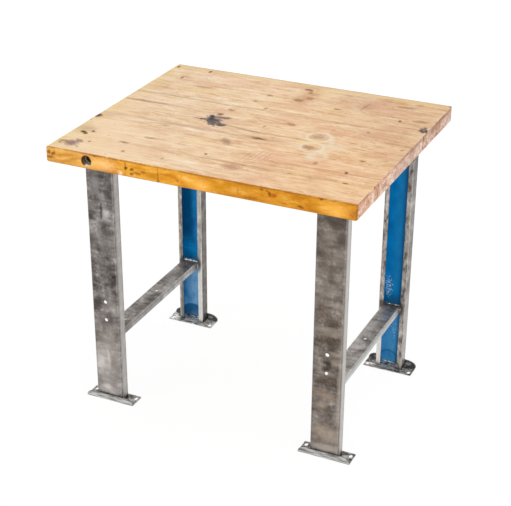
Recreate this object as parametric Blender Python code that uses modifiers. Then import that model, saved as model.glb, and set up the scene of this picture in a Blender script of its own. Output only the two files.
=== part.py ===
"""Workbench: laminated maple top on two welded end frames of bent steel channel.

Metres, +Z up, +X to the right along the front edge, +Y to the back.
The origin is on the floor under the middle of the top.
"""
from math import cos, pi, radians, sin, tan

import bmesh
import bpy
from mathutils import Matrix, Vector

# Overall sizes
BENCH_HEIGHT = 0.855
FIT_GAP = 0.0003

# Laminated top
TOP_WIDTH = 0.914
TOP_DEPTH = 0.780
TOP_THICKNESS = 0.045
TOP_EDGE_ROUND = 0.003
LEFT_END_ROUND = 0.008
TOP_CORNER_ROUND = 0.008
STAVE_COUNT = 20
EDGE_BORE_DIAMETER = 0.031
EDGE_BORE_DEPTH = 0.018
EDGE_BORE_FROM_END = 0.131
PLUG_DIAMETER = 0.017
PLUG_LENGTH = 0.012
PLUG_CHAMFER = 0.0008
PLUG_FROM_END = 0.014
PLUG_FROM_BACK = 0.223

# Legs: lipped channel, web outwards
LEG_WIDTH = 0.087
LEG_DEPTH = 0.038
LEG_LIP = 0.016
LEG_BEND = 0.005
FRONT_OVERHANG = 0.100
END_OVERHANG = 0.061
LEG_HOLE_COUNT = 2
LEG_HOLE_DIAMETER = 0.0115
LEG_HOLE_HEIGHT = 0.282
LEG_HOLE_PITCH = 0.060
SHEET = 0.0027

# Feet: bent plate angles
FOOT_LENGTH = 0.158
FOOT_DEPTH = 0.057
FOOT_PLATE = 0.004
FOOT_BEND = 0.0045
FOOT_UPSTAND = 0.0225
FOOT_END_HEIGHT = 0.0055
FOOT_SHOULDER = 0.004
FOOT_CORNER = 0.007
FOOT_SLOT_WIDTH = 0.011
FOOT_SLOT_LENGTH = 0.018
FOOT_SLOT_PITCH = 0.138
FOOT_SLOT_FROM_EDGE = 0.015

# Stretchers and top rails: one punched channel
STRETCHER_HEIGHT = 0.233
CHANNEL_DROP = 0.022
CHANNEL_BEND = 0.004
CHANNEL_TUCK = 0.003
CHANNEL_HOLE_DIAMETER = 0.010
CHANNEL_HOLE_FROM_FRONT = 0.070
CHANNEL_HOLE_FROM_REAR = 0.031

# Fasteners that hold the top down
LAG_DIAMETER = 0.008
LAG_LENGTH = 0.032
LAG_POINT = 0.007
LAG_HEAD_WIDTH = 0.013
LAG_HEAD_HEIGHT = 0.0055
WASHER_DIAMETER = 0.020
WASHER_THICKNESS = 0.0016

# Roundness of the modelled forms
BEND_STEPS = 5
ARCH_STEPS = 10
EDGE_STEPS = 4
CORNER_STEPS = 4
HOLE_SIDES = 24
FASTENER_SIDES = 20
HEXAGON_SIDES = 6
SHARP_ANGLE = radians(30)
CHAMFER_ANGLE = radians(40)
FLAT_ANGLE = 1e-3
WELD_DISTANCE = 1e-6
NEAR = 1e-5

# Places that follow from the sizes
TOP_UNDERSIDE = BENCH_HEIGHT - TOP_THICKNESS
FRAME_TOP = TOP_UNDERSIDE - FIT_GAP
LEG_BASE = FOOT_PLATE + FIT_GAP
LEG_X = TOP_WIDTH / 2 - END_OVERHANG - LEG_WIDTH / 2
LEG_FACE_Y = TOP_DEPTH / 2 - FRONT_OVERHANG
LIP_FACE_Y = LEG_FACE_Y - LEG_DEPTH
CHANNEL_WIDTH = LEG_WIDTH - 2 * LEG_LIP - 2 * FIT_GAP
CHANNEL_LENGTH = 2 * (LIP_FACE_Y + CHANNEL_TUCK)
FRONT_HOLE_Y = CHANNEL_HOLE_FROM_FRONT - CHANNEL_LENGTH / 2
REAR_HOLE_Y = CHANNEL_LENGTH / 2 - CHANNEL_HOLE_FROM_REAR
HOLE_PLACES = {"front": FRONT_HOLE_Y, "middle": (FRONT_HOLE_Y + REAR_HOLE_Y) / 2, "rear": REAR_HOLE_Y}
WASHER_TOP = FRAME_TOP - SHEET - FIT_GAP
LAG_SEAT = WASHER_TOP - WASHER_THICKNESS - FIT_GAP
OVERSHOOT = 0.01

# Turns that stand a flat outline up
STAND_ALONG_X = Matrix(((0, 0, 1, 0), (1, 0, 0, 0), (0, 1, 0, 0), (0, 0, 0, 1)))
STAND_ALONG_Y = Matrix.Rotation(pi / 2, 4, "X")


def clear_scene():
    for old in list(bpy.data.objects):
        bpy.data.objects.remove(old, do_unlink=True)


def new_collection(name):
    group = bpy.data.collections.new(name)
    bpy.context.scene.collection.children.link(group)
    return group


def new_material(name, colour, roughness, metallic):
    finish = bpy.data.materials.new(name)
    finish.use_nodes = True
    shader = finish.node_tree.nodes["Principled BSDF"]
    shader.inputs["Base Color"].default_value = (*colour, 1.0)
    shader.inputs["Roughness"].default_value = roughness
    shader.inputs["Metallic"].default_value = metallic
    finish.diffuse_color = (*colour, 1.0)
    return finish


clear_scene()
PARTS = new_collection("workbench")
CUTTERS = new_collection("cutters")
MAPLE = new_material("worn_maple", (0.74, 0.52, 0.31), 0.55, 0.0)
LEG_STEEL = new_material("scoured_leg_steel", (0.33, 0.31, 0.29), 0.42, 1.0)
FOOT_STEEL = new_material("dark_foot_steel", (0.24, 0.23, 0.22), 0.45, 1.0)
CHANNEL_STEEL = new_material("scoured_channel_steel", (0.38, 0.36, 0.34), 0.42, 1.0)
FASTENER_STEEL = new_material("zinc_fastener", (0.55, 0.55, 0.54), 0.35, 1.0)
PLUG_STEEL = new_material("dark_plug_steel", (0.12, 0.12, 0.13), 0.5, 1.0)


def arc(centre, radius, start, end, steps):
    """Points on a circular arc, angles in degrees, both ends included."""
    angles = [radians(start + (end - start) * step / steps) for step in range(steps + 1)]
    return [(centre[0] + radius * cos(a), centre[1] + radius * sin(a)) for a in angles]


def rounded_path(corners, radius):
    """An open path with each inner corner replaced by a tangent arc."""
    points = [corners[0]]
    for before, corner, after in zip(corners, corners[1:], corners[2:]):
        corner = Vector(corner)
        into = (Vector(before) - corner).normalized()
        out = (Vector(after) - corner).normalized()
        half_angle = into.angle(out) / 2
        setback = radius / tan(half_angle)
        centre = corner + (into + out).normalized() * (radius / sin(half_angle))
        first = corner + into * setback - centre
        last = corner + out * setback - centre
        turn = first.angle_signed(last)
        for step in range(BEND_STEPS + 1):
            spoke = first.copy()
            spoke.rotate(Matrix.Rotation(-turn * step / BEND_STEPS, 2))
            points.append(tuple(centre + spoke))
    points.append(corners[-1])
    return points


def link(name, mesh, group):
    thing = bpy.data.objects.new(name, mesh)
    group.objects.link(thing)
    return thing


def object_from(bm, name, group):
    mesh = bpy.data.meshes.new(name)
    bm.to_mesh(mesh)
    bm.free()
    return link(name, mesh, group)


def as_cutter(thing):
    thing.hide_render = True
    thing.display_type = "WIRE"
    return thing


def bake(thing):
    """The evaluated mesh of a blank, which is then removed."""
    depsgraph = bpy.context.evaluated_depsgraph_get()
    mesh = bpy.data.meshes.new_from_object(thing.evaluated_get(depsgraph))
    mesh.name = thing.name
    bpy.data.objects.remove(thing, do_unlink=True)
    return mesh


def prism(name, outline, depth, turn=None):
    """A flat outline extruded to a solid, centred on its own plane."""
    curve = bpy.data.curves.new(name, "CURVE")
    curve.dimensions = "2D"
    curve.fill_mode = "BOTH"
    curve.extrude = depth / 2
    spline = curve.splines.new("POLY")
    spline.points.add(len(outline) - 1)
    for point, (u, v) in zip(spline.points, outline):
        point.co = (u, v, 0.0, 1.0)
    spline.use_cyclic_u = True
    bm = bmesh.new()
    bm.from_mesh(bake(link(name, curve, CUTTERS)))
    bmesh.ops.remove_doubles(bm, verts=bm.verts, dist=WELD_DISTANCE)
    bmesh.ops.dissolve_limit(bm, angle_limit=FLAT_ANGLE, verts=bm.verts, edges=bm.edges)
    bmesh.ops.recalc_face_normals(bm, faces=bm.faces)
    if turn:
        bmesh.ops.transform(bm, matrix=turn, verts=bm.verts)
    return object_from(bm, name, CUTTERS)


def bent_sheet(name, corners, bend, length):
    """Sheet steel folded at the corners of its outer face, its inside on the left, drawn along Z."""
    bm = bmesh.new()
    path = [bm.verts.new((u, v, 0.0)) for u, v in rounded_path(corners, bend)]
    edges = [bm.edges.new(pair) for pair in zip(path, path[1:])]
    drawn = bmesh.ops.extrude_edge_only(bm, edges=edges)["geom"]
    far_side = [item for item in drawn if isinstance(item, bmesh.types.BMVert)]
    bmesh.ops.translate(bm, verts=far_side, vec=(0, 0, length))
    thing = object_from(bm, name, CUTTERS)
    wall = thing.modifiers.new("sheet", "SOLIDIFY")
    wall.thickness = SHEET
    wall.offset = 1
    wall.use_even_offset = True
    return thing


def round_bar(name, diameter, length, place, axis="Z", sides=HOLE_SIDES):
    """A cylinder centred on its place, used as a cutter."""
    bm = bmesh.new()
    bmesh.ops.create_cone(
        bm, cap_ends=True, segments=sides, radius1=diameter / 2, radius2=diameter / 2, depth=length
    )
    if axis == "Y":
        bmesh.ops.transform(bm, matrix=STAND_ALONG_Y, verts=bm.verts)
    bmesh.ops.translate(bm, verts=bm.verts, vec=place)
    return as_cutter(object_from(bm, name, CUTTERS))


def boolean(thing, other, operation="DIFFERENCE"):
    step = thing.modifiers.new(other.name, "BOOLEAN")
    step.operation = operation
    step.object = other
    step.solver = "EXACT"


def round_edges(thing, share, width, steps):
    """Bevel each edge by the share of the width that its two end points call for."""
    bm = bmesh.new()
    bm.from_mesh(thing.data)
    weight = bm.edges.layers.float.new("bevel_weight_edge")
    for edge in bm.edges:
        edge[weight] = share(*[vert.co for vert in edge.verts])
    bm.to_mesh(thing.data)
    bm.free()
    bevel = thing.modifiers.new("rounded_edges", "BEVEL")
    bevel.limit_method = "WEIGHT"
    bevel.width = width
    bevel.segments = steps


def place(name, mesh, material, parent, location=(0, 0, 0), turn=0.0):
    """One finished piece in the collection of parts."""
    if not mesh.materials:
        mesh.materials.append(material)
        mesh.shade_smooth()
        mesh.set_sharp_from_angle(angle=SHARP_ANGLE)
    piece = link(name, mesh, PARTS)
    piece.parent = parent
    piece.location = location
    piece.rotation_euler = (0, 0, turn)
    return piece


def new_empty(name, location, parent=None):
    empty = link(name, None, PARTS)
    empty.location = location
    empty.parent = parent
    return empty


def leg_mesh(name, holes):
    """Lipped channel, outer face of the web at y = 0, open towards +Y."""
    side = LEG_WIDTH / 2
    lip = side - LEG_LIP
    corners = [(-lip, LEG_DEPTH), (-side, LEG_DEPTH), (-side, 0)]
    corners += [(side, 0), (side, LEG_DEPTH), (lip, LEG_DEPTH)]
    blank = bent_sheet(name, corners, LEG_BEND, FRAME_TOP - LEG_BASE)
    for number in range(holes):
        height = LEG_HOLE_HEIGHT + number * LEG_HOLE_PITCH - LEG_BASE
        drill = round_bar(
            f"{name}_hole_{number}", LEG_HOLE_DIAMETER, LEG_DEPTH, (0, 0, height), axis="Y"
        )
        boolean(blank, drill)
    return bake(blank)


def foot_mesh():
    """Angle of bent plate: base under the leg, arched upstand outside its web (y = 0)."""
    outer = -FIT_GAP - FOOT_PLATE
    inner = outer + FOOT_DEPTH
    end = FOOT_LENGTH / 2
    section = arc((outer + FOOT_BEND, FOOT_BEND), FOOT_BEND, 270, 180, BEND_STEPS)
    section += [(outer, FOOT_UPSTAND), (-FIT_GAP, FOOT_UPSTAND), (-FIT_GAP, FOOT_PLATE)]
    section += [(inner, FOOT_PLATE), (inner, 0)]
    blank = prism("foot", section, FOOT_LENGTH, STAND_ALONG_X)

    def inner_corner(*ends):
        return float(all(abs(p.x) > end - NEAR and p.y > inner - NEAR for p in ends))

    round_edges(blank, inner_corner, FOOT_CORNER, CORNER_STEPS)
    for side in (-1, 1):
        boolean(blank, arch_cutter(side, outer))
        boolean(blank, slot_cutter(side, inner - FOOT_SLOT_FROM_EDGE))
    return bake(blank)


def arch_cutter(side, outer):
    """What is taken off one end of the upstand to leave a quarter arch."""
    start = LEG_WIDTH / 2 + FOOT_SHOULDER
    run = FOOT_LENGTH / 2 - start
    rise = FOOT_UPSTAND - FOOT_END_HEIGHT
    outline = []
    for step in range(ARCH_STEPS + 1):
        angle = pi / 2 * step / ARCH_STEPS
        outline.append((side * (start + run * sin(angle)), FOOT_END_HEIGHT + rise * cos(angle)))
    outline.append((side * (start + run + OVERSHOOT), FOOT_END_HEIGHT))
    outline.append((side * (start + run + OVERSHOOT), FOOT_UPSTAND + OVERSHOOT))
    outline.append((side * start, FOOT_UPSTAND + OVERSHOOT))
    cutter = prism(f"foot_arch_{side}", outline, 2 * (FOOT_PLATE + FIT_GAP), STAND_ALONG_Y)
    cutter.location.y = outer
    return as_cutter(cutter)


def slot_cutter(side, across):
    """One bolt slot through the base plate, long way across the foot."""
    radius = FOOT_SLOT_WIDTH / 2
    straight = (FOOT_SLOT_LENGTH - FOOT_SLOT_WIDTH) / 2
    centre = side * FOOT_SLOT_PITCH / 2
    outline = arc((centre, across + straight), radius, 0, 180, HOLE_SIDES // 2)
    outline += arc((centre, across - straight), radius, 180, 360, HOLE_SIDES // 2)
    return as_cutter(prism(f"foot_slot_{side}", outline, 2 * OVERSHOOT))


def channel_mesh():
    """Punched channel along Y, web on top at z = 0, flanges hanging down."""
    side = CHANNEL_WIDTH / 2
    corners = [(side, -CHANNEL_DROP), (side, 0), (-side, 0), (-side, -CHANNEL_DROP)]
    blank = bent_sheet("channel", corners, CHANNEL_BEND, CHANNEL_LENGTH)
    blank.data.transform(Matrix.Translation((0, CHANNEL_LENGTH / 2, 0)) @ STAND_ALONG_Y)
    for name, along in HOLE_PLACES.items():
        boolean(blank, round_bar(f"channel_hole_{name}", CHANNEL_HOLE_DIAMETER, 2 * OVERSHOOT, (0, along, 0)))
    return bake(blank)


def lag_mesh():
    """Hexagon-head lag screw pointing up, bearing face of its head at z = 0."""
    bm = bmesh.new()
    shank = LAG_LENGTH - LAG_POINT
    half = LAG_DIAMETER / 2
    profile = [(0, LAG_LENGTH), (half, shank), (half, -LAG_HEAD_HEIGHT / 2), (0, -LAG_HEAD_HEIGHT / 2)]
    path = [bm.verts.new((u, 0, w)) for u, w in profile]
    for pair in zip(path, path[1:]):
        bm.edges.new(pair)
    blank = object_from(bm, "lag_screw", CUTTERS)
    turned = blank.modifiers.new("turned", "SCREW")
    turned.steps = FASTENER_SIDES
    turned.render_steps = FASTENER_SIDES
    turned.use_merge_vertices = True
    turned.merge_threshold = WELD_DISTANCE
    head_radius = LAG_HEAD_WIDTH / 2 / cos(pi / HEXAGON_SIDES)
    head = round_bar(
        "lag_head", 2 * head_radius, LAG_HEAD_HEIGHT, (0, 0, -LAG_HEAD_HEIGHT / 2), sides=HEXAGON_SIDES
    )
    boolean(blank, head, "UNION")
    return bake(blank)


def washer_mesh():
    """Flat washer, upper face at z = 0."""
    middle = (0, 0, -WASHER_THICKNESS / 2)
    blank = round_bar("washer", WASHER_DIAMETER, WASHER_THICKNESS, middle, sides=FASTENER_SIDES)
    hole = LAG_DIAMETER + 2 * FIT_GAP
    boolean(blank, round_bar("washer_hole", hole, 2 * OVERSHOOT, middle, sides=FASTENER_SIDES))
    return bake(blank)


def plug_mesh():
    """Round steel plug, top face at z = 0, with a broken edge."""
    blank = round_bar("plug", PLUG_DIAMETER, PLUG_LENGTH, (0, 0, -PLUG_LENGTH / 2), sides=HOLE_SIDES)
    bevel = blank.modifiers.new("broken_edge", "BEVEL")
    bevel.limit_method = "ANGLE"
    bevel.angle_limit = CHAMFER_ANGLE
    bevel.width = PLUG_CHAMFER
    bevel.segments = 1
    return bake(blank)


def top_cutters():
    """Cutters for every hole in the top, each with its reach along Y."""
    bore_x = -TOP_WIDTH / 2 + EDGE_BORE_FROM_END
    front = -TOP_DEPTH / 2
    bore_run = EDGE_BORE_DEPTH + OVERSHOOT
    bore_y = front + EDGE_BORE_DEPTH - bore_run / 2
    bore_z = TOP_UNDERSIDE + TOP_THICKNESS / 2
    found = [(round_bar("edge_bore", EDGE_BORE_DIAMETER, bore_run, (bore_x, bore_y, bore_z), axis="Y"),
              front, front + EDGE_BORE_DEPTH)]
    pocket = PLUG_DIAMETER + 2 * FIT_GAP
    pocket_x = TOP_WIDTH / 2 - PLUG_FROM_END
    pocket_y = TOP_DEPTH / 2 - PLUG_FROM_BACK
    pocket_run = PLUG_LENGTH + 2 * FIT_GAP + OVERSHOOT
    pocket_z = BENCH_HEIGHT + OVERSHOOT - pocket_run / 2
    found.append((round_bar("plug_pocket", pocket, pocket_run, (pocket_x, pocket_y, pocket_z)),
                  pocket_y - pocket / 2, pocket_y + pocket / 2))
    pilot = LAG_DIAMETER + 2 * FIT_GAP
    pilot_top = LAG_SEAT + LAG_LENGTH + FIT_GAP
    pilot_run = pilot_top - TOP_UNDERSIDE + OVERSHOOT
    for side in (-1, 1):
        for name, along in HOLE_PLACES.items():
            middle = (side * LEG_X, along, pilot_top - pilot_run / 2)
            found.append((round_bar(f"pilot_{name}_{side}", pilot, pilot_run, middle, sides=FASTENER_SIDES),
                          along - pilot / 2, along + pilot / 2))
    return found


def stave_mesh(number, cutters):
    """One stave of the top, in place, with its share of the rounded edges and holes."""
    pitch = TOP_DEPTH / STAVE_COUNT
    front = -TOP_DEPTH / 2 + number * pitch
    first = number == 0
    last = number == STAVE_COUNT - 1
    low = front + (0 if first else FIT_GAP / 2)
    high = front + pitch - (0 if last else FIT_GAP / 2)
    bm = bmesh.new()
    bmesh.ops.create_cube(bm, size=1.0)
    size = Matrix.Diagonal((TOP_WIDTH, high - low, TOP_THICKNESS, 1))
    middle = Matrix.Translation((0, (low + high) / 2, BENCH_HEIGHT - TOP_THICKNESS / 2))
    bmesh.ops.transform(bm, matrix=middle @ size, verts=bm.verts)
    blank = object_from(bm, f"stave_{number + 1:02d}", CUTTERS)

    def outside(a, b):
        on_end = abs(a.x - b.x) < NEAR
        on_front = first and max(a.y, b.y) < low + NEAR
        on_back = last and min(a.y, b.y) > high - NEAR
        level = abs(a.z - b.z) < NEAR
        if not level:
            return 1.0 if on_front or on_back else 0.0
        if on_end and a.x < 0:
            return LEFT_END_ROUND / TOP_CORNER_ROUND
        return TOP_EDGE_ROUND / TOP_CORNER_ROUND if on_end or on_front or on_back else 0.0

    round_edges(blank, outside, TOP_CORNER_ROUND, EDGE_STEPS)
    for cutter, near, far in cutters:
        if near < high and far > low:
            boolean(blank, cutter)
    return bake(blank)


def build_top(parent):
    cutters = top_cutters()
    for number in range(STAVE_COUNT):
        place(f"top_stave_{number + 1:02d}", stave_mesh(number, cutters), MAPLE, parent)
    plug_place = (TOP_WIDTH / 2 - PLUG_FROM_END, TOP_DEPTH / 2 - PLUG_FROM_BACK, BENCH_HEIGHT - FIT_GAP)
    place("flush_steel_plug", plug_mesh(), PLUG_STEEL, parent, plug_place)


def build_end_frames(parent):
    legs = {"front": leg_mesh("front_leg", LEG_HOLE_COUNT), "rear": leg_mesh("rear_leg", 0)}
    foot = foot_mesh()
    channel = channel_mesh()
    lag = lag_mesh()
    washer = washer_mesh()
    for side, side_x in (("left", -LEG_X), ("right", LEG_X)):
        frame = new_empty(f"{side}_end_frame", (side_x, 0, 0), parent)
        for row, face_y, turn in (("front", -LEG_FACE_Y, 0.0), ("rear", LEG_FACE_Y, pi)):
            place(f"leg_{row}_{side}", legs[row], LEG_STEEL, frame, (0, face_y, LEG_BASE), turn)
            place(f"foot_{row}_{side}", foot, FOOT_STEEL, frame, (0, face_y, 0), turn)
        place(f"lower_stretcher_{side}", channel, CHANNEL_STEEL, frame, (0, 0, STRETCHER_HEIGHT))
        place(f"top_rail_{side}", channel, CHANNEL_STEEL, frame, (0, 0, FRAME_TOP))
        for name, along in HOLE_PLACES.items():
            place(f"lag_washer_{side}_{name}", washer, FASTENER_STEEL, frame, (0, along, WASHER_TOP))
            place(f"lag_screw_{side}_{name}", lag, FASTENER_STEEL, frame, (0, along, LAG_SEAT))


bench = new_empty("workbench_origin", (0, 0, 0))
build_top(bench)
build_end_frames(bench)
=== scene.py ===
"""Workbench: worn finishes, stains, weld beads, floor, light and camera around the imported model.

The model is in metres. Shaders work in millimetres in the same frame: x to the right along the front
edge, y to the back, z up from the floor. Tints are screen colours, 0 to 255.
"""

import random
from collections import namedtuple
from math import pi, radians, sin

import bmesh
import bpy
from mathutils import Matrix, Vector, noise


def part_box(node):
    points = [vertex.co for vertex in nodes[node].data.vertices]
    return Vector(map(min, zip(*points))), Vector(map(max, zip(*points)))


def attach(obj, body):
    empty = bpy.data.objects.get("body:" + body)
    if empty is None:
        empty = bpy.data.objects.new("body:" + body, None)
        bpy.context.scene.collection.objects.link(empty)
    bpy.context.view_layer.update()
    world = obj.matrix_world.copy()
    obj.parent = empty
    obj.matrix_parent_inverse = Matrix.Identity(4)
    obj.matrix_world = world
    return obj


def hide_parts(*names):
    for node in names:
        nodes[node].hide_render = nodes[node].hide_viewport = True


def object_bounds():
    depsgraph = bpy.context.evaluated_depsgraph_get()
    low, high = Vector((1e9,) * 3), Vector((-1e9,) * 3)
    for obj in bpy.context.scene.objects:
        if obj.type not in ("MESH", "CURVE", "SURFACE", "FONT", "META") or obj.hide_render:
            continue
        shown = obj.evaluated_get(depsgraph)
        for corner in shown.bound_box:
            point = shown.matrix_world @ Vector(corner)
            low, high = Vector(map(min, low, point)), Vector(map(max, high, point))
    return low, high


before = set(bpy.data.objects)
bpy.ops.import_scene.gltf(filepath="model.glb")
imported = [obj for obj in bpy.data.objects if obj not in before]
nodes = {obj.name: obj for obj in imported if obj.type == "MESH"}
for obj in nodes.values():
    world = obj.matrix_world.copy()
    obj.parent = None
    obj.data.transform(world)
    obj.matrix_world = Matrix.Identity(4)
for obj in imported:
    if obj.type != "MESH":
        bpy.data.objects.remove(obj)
cad_low, cad_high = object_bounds()
STAVES = sorted(name for name in nodes if name.startswith("top_stave_"))

MM = 0.001

# Camera, fitted to the photograph's frame
FRAME_WIDTH = 511
FRAME_HEIGHT = 506
FOCAL_PIXELS = 1322.9
PRINCIPAL_POINT = (234.2, 277.4)
CAMERA_PLACE = (1.4776, -3.2111, 2.2104)
CAMERA_AZIMUTH = 25.73
CAMERA_ELEVATION = 27.54
CAMERA_ROLL = -0.11
SENSOR_WIDTH = 36

# Floor and light, in metres and watts
WHITE = (1, 1, 1, 1)
FLOOR_RADIUS = 14
FLOOR_SIDES = 64
FLOOR_DROP = 0.0006
FLOOR_COLOUR = (0.9, 0.9, 0.9, 1)
FLOOR_SHADOW_SHARE = 0.1
FLOOR_GLOW = 1.04
FLOOR_SHADOW_END = 1.9
FLOOR_SHADOW_FULL = 0.75
AMBIENT = 0.4
LAMPS = {
    "key_softbox": ((-2.4, -3.2, 1.8), 2.4, 36),
    "front_softbox": ((1.3, -3.3, 1.2), 2.2, 50),
    "fill_softbox": ((3.3, -1.8, 1.5), 2.2, 44),
    "overhead_softbox": ((0.2, 0.6, 3.6), 2.6, 43),
}
LAMP_AIM = Vector((0, 0, 0.5))

# Sizes read from the frame: corners in metres, the rest in millimetres
TOP_Z = cad_high.z / MM
EDGE_Y = cad_high.y / MM
UNDER_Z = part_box("top_stave_01")[0].z / MM
LEG_LOW, LEG_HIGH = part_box("leg_front_right")
LEG_X = (LEG_LOW.x + LEG_HIGH.x) / 2 / MM
LEG_HALF = (LEG_HIGH.x - LEG_LOW.x) / 2 / MM
LEG_DEPTH = (LEG_HIGH.y - LEG_LOW.y) / MM
LEG_FACE_Y = -LEG_LOW.y / MM
FOOT_TOP_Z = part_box("foot_front_right")[1].z / MM
PLUG_LOW, PLUG_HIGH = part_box("flush_steel_plug")
PLUG_X = (PLUG_LOW.x + PLUG_HIGH.x) / 2 / MM
PLUG_Y = (PLUG_LOW.y + PLUG_HIGH.y) / 2 / MM
PLUG_RADIUS = (PLUG_HIGH.x - PLUG_LOW.x) / 2 / MM
CHANNEL_LOW, CHANNEL_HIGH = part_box("lower_stretcher_right")
CHANNEL_HALF = (CHANNEL_HIGH.x - CHANNEL_LOW.x) / 2 / MM
CHANNEL_END_Y = CHANNEL_HIGH.y / MM
CHANNEL_TOP_Z = CHANNEL_HIGH.z / MM
CHANNEL_Z = (CHANNEL_LOW.z + CHANNEL_HIGH.z) / 2 / MM
CHANNEL_TOPS = {"lower_stretcher": CHANNEL_TOP_Z, "top_rail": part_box("top_rail_right")[1].z / MM}

# Sizes that the frame's boxes do not hold, in millimetres
SHEET = 2.7
FOOT_PLATE = 4
BORE_X = -326
BORE_RADIUS = 15.5
BORE_DEPTH = 18
STAVE_GAP = 0.3

# Which way a side or row lies from the middle of the bench
SIGN = {"left": -1, "right": 1, "front": -1, "rear": 1}

# Marks: centre, half length and half width in millimetres, tint, strength and softness in percent, and
# turn in degrees
Mark = namedtuple("Mark", "u v length width tint strength soft turn", defaults=(80, 0))
SOFT_MARK = 0.6
LINE_SHARE = 8


def marks(*rows):
    plain = [Mark(*row) for row in rows]
    return [mark._replace(strength=mark.strength / 100, soft=mark.soft / 100) for mark in plain]


SOOT = (84, 52, 24)
UMBER = (106, 66, 32)
BROWN = (158, 104, 60)
TAN = (198, 146, 104)
PLUM = (140, 102, 88)
RUST = (202, 146, 116)
CHALK = (240, 226, 198)
MOSS = (126, 98, 60)

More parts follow.
